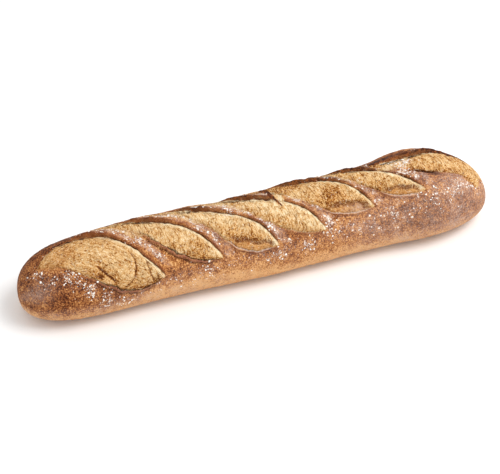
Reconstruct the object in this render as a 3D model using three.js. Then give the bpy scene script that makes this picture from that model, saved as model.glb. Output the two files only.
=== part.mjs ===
// A sourdough baguette: one whole loaf, scored across its top and lying on its flat sole.
// Millimetres. X runs along the loaf, -Y is the front side that the scores open towards, +Z is up.
import * as THREE from 'three';

// The loaf before it is scored
const LENGTH = 430;
const WIDTH = 78.5;
const ROUND_HEIGHT = 65; // height of the round section, before the oven floor flattens it
const SOLE_PRESS = 4; // how much of that height the flat sole takes away
const WAIST = 0.46; // share of the section's height below its widest line
const TOP_ROUNDNESS = 2.1; // superellipse powers of the section above and below the widest line
const BASE_ROUNDNESS = 2.3;
const NEAR_BLUNTNESS = 8; // superellipse powers of the outline seen from above
const FAR_BLUNTNESS = 6.9;
const END_ROUNDNESS = 2.4;
const TIP_HEIGHT = 17; // where each end's foremost point stands above the floor
const THICKENING = 0.014; // share by which the far end is thicker and the near end thinner
const SWELL = 0.14; // share by which the loaf swells near its far end
const SWELL_PLACE = 155; // x of the middle of that swelling
const SWELL_REACH = 36;
const WANDER = 1.3; // how far the hand-rolled loaf strays from straight, towards the front at the place below
const WANDER_PLACE = 10;
const WANDER_WAVE = 190; // length of one sway to the front and back

// The scores: two ends on the crust, each as x and as degrees turned from the crown to the front
// side, and how far the cut has opened towards its ear (the raised flap) and towards its lip, with
// the place along the cut, from 0 at the rear end to 1 at the front end, where it is widest.
const SCORES = [
  { rear: [-198, 8], front: [-96, 73], ear: 36, earAt: 0.36, lip: 18.2, lipAt: 0.72, crown: 3 },
  { rear: [-143, -43], front: [-44, 66], ear: 15.5, earAt: 0.61, lip: 13, lipAt: 0.73, crown: 1.5 },
  { rear: [-95, -45], front: [5, 64], ear: 14.5, earAt: 0.69, lip: 16.8, lipAt: 0.76, crown: 1.5 },
  { rear: [-53, -45], front: [49, 60], ear: 16, earAt: 0.68, lip: 12, lipAt: 0.7, crown: 1.5 },
  { rear: [-6, -46], front: [97, 46], ear: 20, earAt: 0.62, lip: 15.5, lipAt: 0.68, crown: 1.5 },
  { rear: [49, -46], front: [145, 43], ear: 10.5, earAt: 0.58, lip: 13.2, lipAt: 0.73, crown: 1.5 },
  { rear: [108, -22], front: [210, 30], ear: 28, earAt: 0.77, lip: 13.5, lipAt: 0.33, crown: 1.5 },
  // the short arm in which the seventh score's bed turns down the end of the loaf
  { rear: [183, 6], front: [198, 50], ear: 14, earAt: 0.5, lip: 5, lipAt: 0.4, crown: 0 },
  // the tear through the crust strip between the fourth and fifth scores
  { rear: [14, -26], front: [22, 6], ear: 3.5, earAt: 0.5, lip: 5, lipAt: 0.5, crown: 0 },
];
const ARC_PER_DEGREE = 0.69; // millimetres of crust to a degree of turn
const EDGE_FULLNESS = 0.9; // power on the sine that shapes a score's edges
const EAR_DEPTH = 3.6; // how deep the bed lies at the foot of the ear and of the lip
const LIP_DEPTH = 2;
const BED_FULLNESS = 0.7; // power on the sine that bulges the bed between them
const EAR_HEIGHT = 2.2;
const EAR_CREST = 2.5; // how far outside the cut's edge the ear is highest
const EAR_ROLL = 6; // width of the ear's rounded back
const LIP_HEIGHT = 1.2;
const LIP_CREST = 1.5;
const LIP_ROLL = 4;
const LIP_START = 0.15; // share of the cut where the lip begins to show, and where it is full
const LIP_FULL = 0.5;
const WALL_OUTSIDE = 2.5; // the wall from rim to bed starts this far outside the edge
const WALL_INSIDE = 2.5; // and ends this far inside it
const FULL_DEPTH_WIDTH = 14; // a cut narrower than this is shallower
const FLAT_TAPER = 0.6; // share of the full section at which the relief starts, coming in from an end
const FULL_TAPER = 0.9; // and at which it is full

// The mesh: rings across the loaf that lean with the scores, and columns closest on the scored top
const RINGS = 112;
const COLUMNS = 48;
const RING_LEAN = 40; // how far a ring's front side is ahead of its crown
const OUTLINE_STEPS = 2000;
const TOP_CENTRE = 20; // turn, in degrees, of the middle of the scored band
const TOP_CROWDING = 0.62; // 0 spreads the columns evenly, towards 1 gathers them on the scored band
const STEP = 0.01; // step in x and in degrees for the slope of the skin

const { degToRad, lerp, smoothstep } = THREE.MathUtils;

function signedPower(value, power) {
  return Math.sign(value) * Math.abs(value) ** power;
}

// Size of the section at x as a share of the full one: a superellipse outline that closes at both ends.
function endTaper(x) {
  const u = Math.min(1, Math.abs((2 * x) / LENGTH));
  const bluntness = x < 0 ? NEAR_BLUNTNESS : FAR_BLUNTNESS;
  return (1 - u ** bluntness) ** (1 / END_ROUNDNESS);
}

// A point on the smooth loaf, where turn is 0 on the crown, 90 at the front and 180 under the sole.
function skin(x, turn) {
  const u = (2 * x) / LENGTH;
  const taper = endTaper(x);
  const swell = 1 + THICKENING * u + SWELL * Math.exp(-(((x - SWELL_PLACE) / SWELL_REACH) ** 2));
  const halfWidth = (WIDTH / 2) * taper * swell;
  const height = ROUND_HEIGHT * taper * swell;
  const middle = lerp(TIP_HEIGHT, WAIST * ROUND_HEIGHT * swell - SOLE_PRESS, taper);
  const sway = WANDER * Math.cos((2 * Math.PI * (x - WANDER_PLACE)) / WANDER_WAVE);
  const sine = Math.sin(degToRad(turn));
  const cosine = Math.cos(degToRad(turn));
  const above = cosine > 0;
  const power = 2 / (above ? TOP_ROUNDNESS : BASE_ROUNDNESS);
  const reach = height * (above ? 1 - WAIST : WAIST);
  return new THREE.Vector3(
    x,
    -sway - halfWidth * signedPower(sine, power),
    middle + reach * signedPower(cosine, power),
  );
}

function skinNormal(x, turn) {
  const alongLoaf = skin(x + STEP, turn).sub(skin(x - STEP, turn));
  const acrossLoaf = skin(x, turn + STEP).sub(skin(x, turn - STEP));
  return acrossLoaf.cross(alongLoaf).normalize();
}

// A skewed half sine: 0 at both ends of a cut, 1 at the peak.
function opening(along, peak) {
  const share = Math.min(1, Math.max(0, along));
  return Math.sin(Math.PI * share ** (Math.log(0.5) / Math.log(peak))) ** EDGE_FULLNESS;
}

// What one score does to the crust at x and turn: how far inside the cut that point is (negative is
// outside), the height of the bed there and the height of the rim there.
function scoreAt(score, x, turn) {
  const [rearX, rearTurn] = score.rear;
  const [frontX, frontTurn] = score.front;
  const runX = frontX - rearX;
  const runArc = (frontTurn - rearTurn) * ARC_PER_DEGREE;
  const length = Math.hypot(runX, runArc);
  const fromX = x - rearX;
  const fromArc = (turn - rearTurn) * ARC_PER_DEGREE;
  const along = (fromX * runX + fromArc * runArc) / length ** 2;
  const across = (fromX * runArc - fromArc * runX) / length;
  const beyond = length * Math.max(0, -along, along - 1);
  const toEar = score.ear * opening(along, score.earAt);
  const toLip = score.lip * opening(along, score.lipAt);
  const insideEar = toEar - across;
  const insideLip = toLip + across;
  const inside = Math.min(insideEar, insideLip) - beyond;
  const strength = smoothstep(toEar + toLip, 0, FULL_DEPTH_WIDTH);
  const share = Math.min(1, Math.max(0, insideLip / Math.max(toEar + toLip, STEP)));
  const depth = lerp(LIP_DEPTH, EAR_DEPTH, share);
  const bed = strength * lerp(-depth, score.crown, Math.sin(Math.PI * share) ** BED_FULLNESS);
  const ear = EAR_HEIGHT * Math.exp(-(((insideEar + EAR_CREST) / EAR_ROLL) ** 2));
  const lipShows = smoothstep(along, LIP_START, LIP_FULL);
  const lip = LIP_HEIGHT * lipShows * Math.exp(-(((insideLip + LIP_CREST) / LIP_ROLL) ** 2));
  return { inside, bed, rim: strength * (across > 0 ? ear : lip) };
}

// Height of the baked crust over the smooth loaf: rims outside the scores, beds inside them.
function relief(x, turn) {
  let rims = 0;
  let beds = 0;
  let opened = 0;
  for (const score of SCORES) {
    const { inside, bed, rim } = scoreAt(score, x, turn);
    const open = smoothstep(inside, -WALL_OUTSIDE, WALL_INSIDE);
    rims = Math.max(rims, rim);
    beds += open * bed;
    opened = Math.max(opened, open);
  }
  return (beds + (1 - opened) * rims) * smoothstep(endTaper(x), FLAT_TAPER, FULL_TAPER);
}

function crust(x, turn) {
  const point = skin(x, turn);
  point.addScaledVector(skinNormal(x, turn), relief(x, turn));
  point.z = Math.max(0, point.z);
  return point;
}

// The x of each ring between the two end points, evenly spaced along the outline seen from above.
function ringPlaces() {
  const outline = [];
  let travelled = 0;
  for (let i = 0; i <= OUTLINE_STEPS; i += 1) {
    const x = (-LENGTH / 2) * Math.cos((Math.PI * i) / OUTLINE_STEPS);
    const edge = new THREE.Vector2(x, (WIDTH / 2) * endTaper(x));
    if (i > 0) travelled += edge.distanceTo(outline[i - 1].edge);
    outline.push({ edge, travelled });
  }
  const places = [];
  let next = 0;
  for (let ring = 1; ring <= RINGS; ring += 1) {
    const wanted = (travelled * ring) / (RINGS + 1);
    while (outline[next].travelled < wanted) next += 1;
    places.push(outline[next].edge.x);
  }
  return places;
}

// The turn of each column, from the sole round by the front and back to it.
function columnTurns() {
  const turns = [];
  for (let column = 0; column < COLUMNS; column += 1) {
    const even = -180 + (360 * column) / COLUMNS;
    turns.push(TOP_CENTRE + even - THREE.MathUtils.radToDeg(TOP_CROWDING * Math.sin(degToRad(even))));
  }
  return turns;
}

function loafGeometry() {
  const positions = [];
  const triangles = [];
  const addPoint = (point) => positions.push(point.x, point.y, point.z) / 3 - 1;
  const turns = columnTurns();
  const nearTip = addPoint(skin(-LENGTH / 2, 0));
  const rings = ringPlaces().map((place) => {
    const lean = RING_LEAN * (1 - ((2 * place) / LENGTH) ** 4);
    return turns.map((turn) => addPoint(crust(place + lean * Math.sin(degToRad(turn)), turn)));
  });
  const farTip = addPoint(skin(LENGTH / 2, 0));
  for (let column = 0; column < COLUMNS; column += 1) {
    const beside = (column + 1) % COLUMNS;
    triangles.push(nearTip, rings[0][beside], rings[0][column]);
    for (let ring = 0; ring + 1 < RINGS; ring += 1) {
      const [a, b] = [rings[ring][column], rings[ring][beside]];
      const [c, d] = [rings[ring + 1][column], rings[ring + 1][beside]];
      triangles.push(a, b, c, b, d, c);
    }
    triangles.push(farTip, rings[RINGS - 1][column], rings[RINGS - 1][beside]);
  }
  const geometry = new THREE.BufferGeometry();
  geometry.setAttribute('position', new THREE.Float32BufferAttribute(positions, 3));
  geometry.setIndex(triangles);
  geometry.computeVertexNormals();
  return geometry;
}

// Moves the origin to the floor under the middle of the loaf's box.
function standOnFloor(geometry) {
  geometry.computeBoundingBox();
  const middle = geometry.boundingBox.getCenter(new THREE.Vector3());
  geometry.translate(-middle.x, -middle.y, -geometry.boundingBox.min.z);
  return geometry;
}

const crustMaterial = new THREE.MeshStandardMaterial({ color: 0xbd8a5c, roughness: 0.75, metalness: 0 });
const loaf = new THREE.Mesh(standOnFloor(loafGeometry()), crustMaterial);
loaf.name = 'loaf';

const baguette = new THREE.Group();
baguette.add(loaf);

export default baguette;
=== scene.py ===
import bpy
import numpy as np
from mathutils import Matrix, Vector


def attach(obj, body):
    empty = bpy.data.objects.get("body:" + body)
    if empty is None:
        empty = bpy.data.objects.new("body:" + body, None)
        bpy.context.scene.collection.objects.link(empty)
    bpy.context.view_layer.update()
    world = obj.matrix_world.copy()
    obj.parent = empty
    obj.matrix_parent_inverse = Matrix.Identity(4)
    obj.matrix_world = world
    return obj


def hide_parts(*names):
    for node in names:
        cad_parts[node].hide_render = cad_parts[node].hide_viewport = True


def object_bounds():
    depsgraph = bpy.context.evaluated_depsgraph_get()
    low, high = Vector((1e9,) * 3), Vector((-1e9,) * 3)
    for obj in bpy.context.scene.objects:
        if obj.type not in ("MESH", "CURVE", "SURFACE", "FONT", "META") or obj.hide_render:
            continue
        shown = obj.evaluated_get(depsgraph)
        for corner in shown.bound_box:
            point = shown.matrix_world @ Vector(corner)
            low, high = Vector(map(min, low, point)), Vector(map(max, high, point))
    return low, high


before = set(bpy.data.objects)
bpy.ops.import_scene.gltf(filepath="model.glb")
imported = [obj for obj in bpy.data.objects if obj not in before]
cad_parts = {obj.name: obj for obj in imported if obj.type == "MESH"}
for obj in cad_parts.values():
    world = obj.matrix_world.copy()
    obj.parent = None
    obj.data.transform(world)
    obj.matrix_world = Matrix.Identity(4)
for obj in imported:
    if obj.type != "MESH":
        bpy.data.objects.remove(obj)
solid_low, solid_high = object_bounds()

# The loaf: one piece of sourdough, rolled by hand, scored across the top with a blade and baked on
# a hot stone. The stone flattens its sole. In the heat each score tears open into a rough bulging
# bed, and one edge of it curls up and bakes darkest as the ear.
MM = 0.001
LENGTH = (solid_high.x - solid_low.x) / MM
WIDTH = 78.5
ROUND_HEIGHT = 65  # of the section before the stone flattens it
SOLE_PRESS = 4  # how much of that height the flat sole takes away
WAIST = 0.46  # share of the section's height below its widest line
TOP_ROUNDNESS = 2.1  # superellipse powers of the section above and below that line
BASE_ROUNDNESS = 2.3
NEAR_BLUNTNESS = 8  # superellipse powers of the outline seen from above
FAR_BLUNTNESS = 6.9
END_ROUNDNESS = 2.4
TIP_HEIGHT = 17  # of each end's foremost point
THICKENING = 0.014  # share by which the far end is thicker and the near end thinner
SWELL = 0.14  # share by which the loaf swells near its far end
SWELL_PLACE = 155
SWELL_REACH = 36
WANDER = 1.3  # how far the loaf strays from straight
WANDER_PLACE = 10
WANDER_WAVE = 190

# Each score: x and turn from the crown, in degrees, of its rear and front ends; how far it has opened
# towards the ear and towards the lip, and the shares of its length where each is widest; how high its
# bed's crown is and how much more it is toasted; how wide the smooth flap inside its lip is; how far the
# lip stands up and the share of the length where it begins; and how far the bed's colour runs past its
# edge where there is no lip. The last two are the arm in which the seventh bed turns down the end of the
# loaf, and the tear through a strip. They have no crown, ear or lip of their own.
SCORES = [
    {
        "rear": (-198, 8), "front": (-96, 73), "ear": 36, "ear_at": 0.36, "lip": 18.2, "lip_at": 0.72,
        "crown": 3, "toast": 0.04, "flap": 0, "ridge": 1.0, "lip_from": 0.3, "fade": 0,
    },
    {
        "rear": (-143, -43), "front": (-44, 66), "ear": 15.5, "ear_at": 0.61, "lip": 13, "lip_at": 0.73,
        "crown": 1.5, "toast": 0.0, "flap": 0, "ridge": 1.0, "lip_from": 0.28, "fade": 9,
    },
    {
        "rear": (-95, -45), "front": (5, 64), "ear": 14.5, "ear_at": 0.69, "lip": 16.8, "lip_at": 0.76,
        "crown": 1.5, "toast": -0.07, "flap": 8.5, "ridge": 0.4, "lip_from": 0.3, "fade": 9,
    },
    {
        "rear": (-53, -45), "front": (49, 60), "ear": 16, "ear_at": 0.68, "lip": 12, "lip_at": 0.7,
        "crown": 1.5, "toast": -0.09, "flap": 2, "ridge": 0.3, "lip_from": 0.3, "fade": 9,
    },
    {
        "rear": (-6, -46), "front": (97, 46), "ear": 20, "ear_at": 0.62, "lip": 15.5, "lip_at": 0.68,
        "crown": 1.5, "toast": 0.0, "flap": 8, "ridge": 0.3, "lip_from": 0.3, "fade": 9,
    },
    {
        "rear": (49, -46), "front": (145, 43), "ear": 10.5, "ear_at": 0.58, "lip": 13.2, "lip_at": 0.73,
        "crown": 1.5, "toast": 0.02, "flap": 6.5, "ridge": 0.4, "lip_from": 0.3, "fade": 9,
    },
    {
        "rear": (108, -22), "front": (210, 30), "ear": 28, "ear_at": 0.77, "lip": 13.5, "lip_at": 0.33,
        "crown": 1.5, "toast": 0.12, "flap": 0, "ridge": 0.45, "lip_from": 0.05, "fade": 0,
    },
    {
        "rear": (183, 6), "front": (198, 50), "ear": 14, "ear_at": 0.5, "lip": 5, "lip_at": 0.4,
        "crown": 0, "toast": 0.12, "flap": 0, "ridge": 0.0, "lip_from": 0.3, "fade": 0,
    },
    {
        "rear": (14, -26), "front": (22, 6), "ear": 3.5, "ear_at": 0.5, "lip": 5, "lip_at": 0.5,
        "crown": 0, "toast": 0.0, "flap": 0, "ridge": 0.0, "lip_from": 0.3, "fade": 0,
    },
]
MAIN_SCORES = 7
SEVENTH = 6
ARC_PER_DEGREE = 0.69  # millimetres of crust to a degree of turn
EDGE_FULLNESS = 0.9
EAR_DEPTHS = (3.6, 2.4)  # at the rear and at the front of a score, as the next two
EAR_HEIGHTS = (3.0, 1.0)
EAR_FACES = (1.1, 1.3)
EAR_CREST = 1.1
EAR_REACH = 10
EAR_OVERHANG = 1.3
EAR_LEAN = (-1.4, 1.5)  # where the ear leans over most, from the cut's edge, and over what reach
REAR_TO_FRONT = (0.4, 0.72)  # shares of a score's length, as the next four
EAR_GROWTH = (0.14, 0.34)
EAR_GIVES_WAY = (0.3, 0.5)
FRONT_PART = (0.3, 0.55, 0.84, 1.0)
REAR_PART = (0.02, 0.12, 0.35, 0.55)
LIP_DEPTH = 1.4
LIP_HEIGHT = 1.2
LIP_CREST = 1.3
LIP_ROLL = 0.9
LIP_FACE = 0.9
LIP_OVERHANG = 0.3
LIP_LEAN = (-0.8, 1.2)
LIP_GROOVE = 0.8
LIP_GROOVE_PLACES = (1.4, 3.1)
LIP_GROOVE_WIDTH = 0.7
LIP_GROWTH = 0.3
FLAP_START = 0.6
FLAP_FULL = 0.78
FLAP_SHARE = 0.75
FLAP_WIDTHS = (1, 5)  # at which a flap begins to show, and shows in full
FLAP_CREASE = 1.0
FLAP_CREASE_LINE = (0.8, 1.2)
BED_FULLNESS = 0.5
WALL_FOOT = 0.9
FULL_DEPTH_WIDTH = 14
FLAT_TAPER = 0.6
FULL_TAPER = 0.9

RINGS = 640
COLUMNS = 150
RING_LEAN = 40
OUTLINE_STEPS = 4000
TOP_CENTRE = 20
TOP_CROWDING = 0.62
STEP = 0.01
TINY = 1e-12


def smooth(value, low, high):
    """Cubic ease from 0 at low to 1 at high; low may be the larger."""
    share = np.clip((value - low) / (high - low), 0, 1)
    return share * share * (3 - 2 * share)


def between(value, start, full, leave, end):
    """Eases from 0 at start to 1 at full, and from 1 at leave back to 0 at end."""
    return smooth(value, start, full) * smooth(value, end, leave)


def mix(first, second, share):
    """Straight blend from first at share 0 to second at share 1."""
    return first + (second - first) * share


def hump(value, middle, reach):
    """Bell curve: 1 at the middle, about a third at the reach on either side."""
    return np.exp(-(((value - middle) / reach) ** 2))


def end_taper(x):
    """Size of the section at x: a superellipse of the loaf's length that closes at both ends."""
    u = np.clip(np.abs(2 * x / LENGTH), 0, 1)
    bluntness = np.where(x < 0, NEAR_BLUNTNESS, FAR_BLUNTNESS)
    return (1 - u**bluntness) ** (1 / END_ROUNDNESS)


def skin(x, turn):
    """The smooth loaf in millimetres: at each x a section of two half superellipses that meet at its
    widest line, scaled by the end taper and the swelling and raised to its height over the floor."""
    taper = end_taper(x)
    swell = 1 + THICKENING * 2 * x / LENGTH + SWELL * hump(x, SWELL_PLACE, SWELL_REACH)
    half_width = WIDTH / 2 * taper * swell
    height = ROUND_HEIGHT * taper * swell
    middle = mix(TIP_HEIGHT, WAIST * ROUND_HEIGHT * swell - SOLE_PRESS, taper)
    sway = WANDER * np.cos(2 * np.pi * (x - WANDER_PLACE) / WANDER_WAVE)
    sine = np.sin(np.radians(turn))
    cosine = np.cos(np.radians(turn))
    above = cosine > 0
    power = 2 / np.where(above, TOP_ROUNDNESS, BASE_ROUNDNESS)
    reach = height * np.where(above, 1 - WAIST, WAIST)
    y = -sway - half_width * np.sign(sine) * np.abs(sine) ** power
    z = middle + reach * np.sign(cosine) * np.abs(cosine) ** power
    return np.stack([x + 0 * turn, y, z], axis=-1)


def skin_normal(x, turn):
    """Outward direction of the smooth loaf: the cross product of its two slopes, of length 1."""
    along = skin(x + STEP, turn) - skin(x - STEP, turn)
    around = skin(x, turn + STEP) - skin(x, turn - STEP)
    normal = np.cross(around, along)
    return normal / np.maximum(np.linalg.norm(normal, axis=-1, keepdims=True), TINY)


LATTICE_CELLS = 48
LATTICE_SHIFT = np.array([7.31, 3.77, 5.19])
lattice_slopes = np.random.default_rng(11).normal(size=(LATTICE_CELLS,) * 3 + (3,))


def noise(places, size, start=0):
    """Smooth random field of about -1 to 1: a random slope at each corner of a lattice with cells of the
    given size, and between corners the heights of those slopes blended by a cubic ease. Start shifts it."""
    scaled = places / np.array(size) + start * LATTICE_SHIFT
    cell = np.floor(scaled).astype(int)
    part = scaled - cell
    ease = part * part * (3 - 2 * part)
    total = np.zeros(part.shape[:-1])
    for corner in np.ndindex(2, 2, 2):
        key = (cell + corner) % LATTICE_CELLS
        slope = lattice_slopes[key[..., 0], key[..., 1], key[..., 2]]
        weight = np.prod(np.where(corner, ease, 1 - ease), axis=-1)
        total += weight * np.sum(slope * (part - corner), axis=-1)
    return total


def opening(along, peak):
    """Skewed half sine: 0 at both ends of a cut and 1 at the peak."""
    share = np.clip(along, 0, 1)
    return np.sin(np.pi * share ** (np.log(0.5) / np.log(peak))) ** EDGE_FULLNESS


def cut_field(score, x, turn, wobble, lip_wobble):
    """How one score lies at each point: the share and the millimetres along it and the millimetres across
    it; the millimetres inside its ear, its lip and its flap's edge, and inside the nearer of ear and lip;
    the share from lip to ear; how hard the lip is, and how far lip, flap, ridge and ear show; its front
    and rear parts; its toast and fade; how far the bed has taken over from the crust; the heights of bed,
    ear and lip; and the direction across it, from lip to ear."""
    rear_x, rear_turn = score["rear"]
    front_x, front_turn = score["front"]
    edged = score["crown"] > 0
    run_x = front_x - rear_x
    run_arc = (front_turn - rear_turn) * ARC_PER_DEGREE
    length = np.hypot(run_x, run_arc)
    from_x = x - rear_x
    from_arc = (turn - rear_turn) * ARC_PER_DEGREE
    along = (from_x * run_x + from_arc * run_arc) / length**2
    across = (from_x * run_arc - from_arc * run_x) / length
    beyond = length * np.maximum(0, np.maximum(-along, along - 1))
    to_ear = score["ear"] * opening(along, score["ear_at"])
    to_lip = score["lip"] * opening(along, score["lip_at"])
    flap = np.minimum(score["flap"] * smooth(along, FLAP_START, FLAP_FULL), FLAP_SHARE * to_lip)
    inside_ear = to_ear - across - beyond + wobble
    inside_lip = to_lip + across - beyond + wobble + score["ridge"] * lip_wobble
    strength = smooth(to_ear + to_lip, 0, FULL_DEPTH_WIDTH)
    share = np.clip(inside_lip / np.maximum(to_ear + to_lip, STEP), 0, 1)
    lip_hard = smooth(along, score["lip_from"], score["lip_from"] + LIP_GROWTH)
    lip_shows = lip_hard * strength * edged
    frontness = smooth(along, *REAR_TO_FRONT)
    ear_growth = smooth(along, *EAR_GROWTH)
    ear_shows = mix(ear_growth, strength, smooth(along, *EAR_GIVES_WAY)) * edged
    depth = mix(LIP_DEPTH * lip_shows, mix(*EAR_DEPTHS, frontness), share)
    ear_wall = smooth(inside_ear, -mix(*EAR_FACES, frontness), WALL_FOOT)
    lip_wall = smooth(inside_lip, -LIP_FACE, WALL_FOOT)
    ear_rise = mix(*EAR_HEIGHTS, frontness) * smooth(inside_ear, -EAR_REACH, -EAR_CREST)
    lip_ridge = LIP_HEIGHT * score["ridge"] * hump(inside_lip, -LIP_CREST, LIP_ROLL)
    groove_place = mix(*LIP_GROOVE_PLACES, score["ridge"])
    lip_groove = LIP_GROOVE * hump(inside_lip, -groove_place, LIP_GROOVE_WIDTH)
    flap_edge = inside_lip - flap + lip_wobble
    flap_shows = lip_shows * smooth(flap, *FLAP_WIDTHS)
    bed = mix(-depth, score["crown"], np.sin(np.pi * share) ** BED_FULLNESS)
    bed = bed - FLAP_CREASE * flap_shows * hump(flap_edge, *FLAP_CREASE_LINE)
    return {
        "along": along,
        "lengthwise": along * length,
        "across": across,
        "inside_ear": inside_ear,
        "inside_lip": inside_lip,
        "flap_edge": flap_edge,
        "inside": np.minimum(inside_ear, inside_lip),
        "share": share,
        "lip_hard": lip_hard,
        "lip_shows": lip_shows,
        "flap": flap_shows,
        "ridge": lip_shows * score["ridge"],
        "front": strength * between(along, *FRONT_PART) * edged,
        "rear": strength * between(along, *REAR_PART),
        "toast": np.full(x.shape, score["toast"]),
        "fade": np.full(x.shape, score["fade"]),
        "open": ear_wall * lip_wall,
        "bed": strength * bed,
        "ear_shows": ear_shows,
        "ear": ear_shows * ear_rise,
        "lip": lip_shows * (lip_ridge - lip_groove),
        "towards_x": np.full(x.shape, run_arc / length),
        "towards_arc": np.full(x.shape, -run_x / length),
    }


def beside_line(first, second, start, end):
    """How points of a flat map lie by a straight line: the share along it and the distance to its side."""
    run = np.subtract(end, start)
    length = np.hypot(*run)
    from_first = first - start[0]
    from_second = second - start[1]
    share = (from_first * run[0] + from_second * run[1]) / length**2
    return share, (from_first * run[1] - from_second * run[0]) / length


def ring_places():
    """The x of each ring, evenly spaced along the outline seen from above."""
    x = -LENGTH / 2 * np.cos(np.pi * np.arange(OUTLINE_STEPS + 1) / OUTLINE_STEPS)
    steps = np.hypot(np.diff(x), np.diff(WIDTH / 2 * end_taper(x)))
    travelled = np.concatenate([[0], np.cumsum(steps)])
    return np.interp(travelled[-1] * np.arange(1, RINGS + 1) / (RINGS + 1), travelled, x)


def picked(fields, choice):
    """The value of one of several stacked fields at each point, by the number of the field chosen there."""
    return np.take_along_axis(fields, choice[None], axis=0)[0]


even_turn = -180 + 360 * np.arange(COLUMNS) / COLUMNS
column_turn = TOP_CENTRE + even_turn - np.degrees(TOP_CROWDING * np.sin(np.radians(even_turn)))
ring_x = ring_places()
lean = RING_LEAN * (1 - (2 * ring_x / LENGTH) ** 4)
x = ring_x[:, None] + lean[:, None] * np.sin(np.radians(column_turn))
turn = np.broadcast_to(column_turn, x.shape)
arc = turn * ARC_PER_DEGREE
skin_places = skin(x, turn)


def layered(layers):
    """Sum of random fields over the crust, each given by its amount, the size of its lumps in millimetres
    and its start."""
    return sum(amount * noise(skin_places, size, start) for amount, size, start in layers)


def total_of(parts):
    """Sum of fields, each given after its amount."""
    return sum(amount * field for amount, field in parts)


def spots(places):
    """Sum of soft oval spots on the crust, each a bell curve of the distance to its middle. A spot is its
    x, its turn, its reaches along the loaf and round it in millimetres, and its amount. An amount below 0
    does the opposite."""
    total = np.zeros(x.shape)
    for spot_x, spot_turn, reach_x, reach_arc, amount in places:
        spot_arc = (turn - spot_turn) * ARC_PER_DEGREE
        total += amount * hump(np.hypot((x - spot_x) / reach_x, spot_arc / reach_arc), 0, 1)
    return total


# The edges of the scores wander as dough does when it tears.
EDGE_WANDER = [(1.0, 11, 1), (0.6, 4, 2), (0.3, 2, 18)]
LIP_WANDER = [(1.4, 6, 20), (0.8, 2.6, 21)]
CREST_WANDER = [(0.5, 9, 17), (0.2, 3, 22)]
wobble = layered(EDGE_WANDER)
lip_wobble = layered(LIP_WANDER)
cuts = [cut_field(score, x, turn, wobble, lip_wobble) for score in SCORES]
every = {name: np.stack([cut[name] for cut in cuts]) for name in cuts[0]}
owner = every["inside"].argmax(axis=0)
own = {name: picked(fields, owner) for name, fields in every.items()}
inside = own["inside"]
BLEND = 3
weights = np.exp((every["inside"] - inside) / BLEND)
weights /= weights.sum(axis=0)
blended = {name: (weights * every[name]).sum(axis=0) for name in ("along", "share", "toast")}
relief_share = smooth(end_taper(x), FLAT_TAPER, FULL_TAPER)

FAR_AWAY = -30.0
ear_edges = np.where(every["inside_lip"] > 0, every["inside_ear"], FAR_AWAY)
lip_edges = np.where(every["inside_ear"] > 0, every["inside_lip"], FAR_AWAY)
ear_choice = ear_edges.argmax(axis=0)
lip_choice = lip_edges.argmax(axis=0)
ear_edge = ear_edges.max(axis=0)
lip_edge = lip_edges.max(axis=0)
flap_edge = picked(every["flap_edge"], lip_choice)
ear_depth = picked(every["ear_shows"], ear_choice)
flap_depth = picked(every["flap"], lip_choice)

opened = every["open"].max(axis=0)
ragged_crest = 1 + layered(CREST_WANDER)
ears = np.where(every["across"] > 0, every["ear"], 0).max(axis=0)
lips = np.where(every["across"] > 0, 0, every["lip"]).sum(axis=0)
height = (every["open"] * every["bed"]).sum(axis=0) + (1 - opened) * (ears + lips) * ragged_crest

# The torn bed: lumps, short torn strokes that cross the cut on a slant, crumb and small pits. In the
# first bed the strokes follow its edge.
STROKE_ANGLE = np.radians(52)
STROKE_BEND = [(2.5, 14, 3)]
TORN_STROKE = (9, 2.2, 1)
SMALL_PIT = (4, 1.6, 1)
PITTED = (0.45, 0.85)
LUMP_SIZE = 12
CRUMB_SIZE = 2.8
BED_SPACING = 40.0  # keeps the patterns of two beds apart
FLAP_FADE = 2.5
FLAP_SMOOTHNESS = 0.7
LIP_RIM = (0.0, 0.9)  # millimetres inside an edge over which what follows it grows
BED_RIM = (0.2, 3.0)
stroke_bend = layered(STROKE_BEND)
stroke_run = own["lengthwise"] * np.cos(STROKE_ANGLE) - own["across"] * np.sin(STROKE_ANGLE)
stroke_side = own["lengthwise"] * np.sin(STROKE_ANGLE) + own["across"] * np.cos(STROKE_ANGLE) + stroke_bend
stroke_run = np.where(owner == 0, own["lengthwise"], stroke_run)
stroke_side = np.where(owner == 0, inside + stroke_bend, stroke_side)
bed_place = np.stack([stroke_run, stroke_side, owner * BED_SPACING], axis=-1)
strokes = noise(bed_place, TORN_STROKE, 4)
lumps = noise(skin_places, LUMP_SIZE, 5)
crumb = noise(skin_places, CRUMB_SIZE, 6)
pits = smooth(noise(bed_place, SMALL_PIT, 7), *PITTED)
on_flap = flap_depth * smooth(flap_edge, FLAP_FADE, -FLAP_FADE) * smooth(lip_edge, *LIP_RIM)
in_bed = smooth(inside, *BED_RIM) * (1 - FLAP_SMOOTHNESS * on_flap)
height += in_bed * total_of([(0.7, lumps), (0.7, strokes), (0.6, crumb), (-0.8, pits)])

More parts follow.
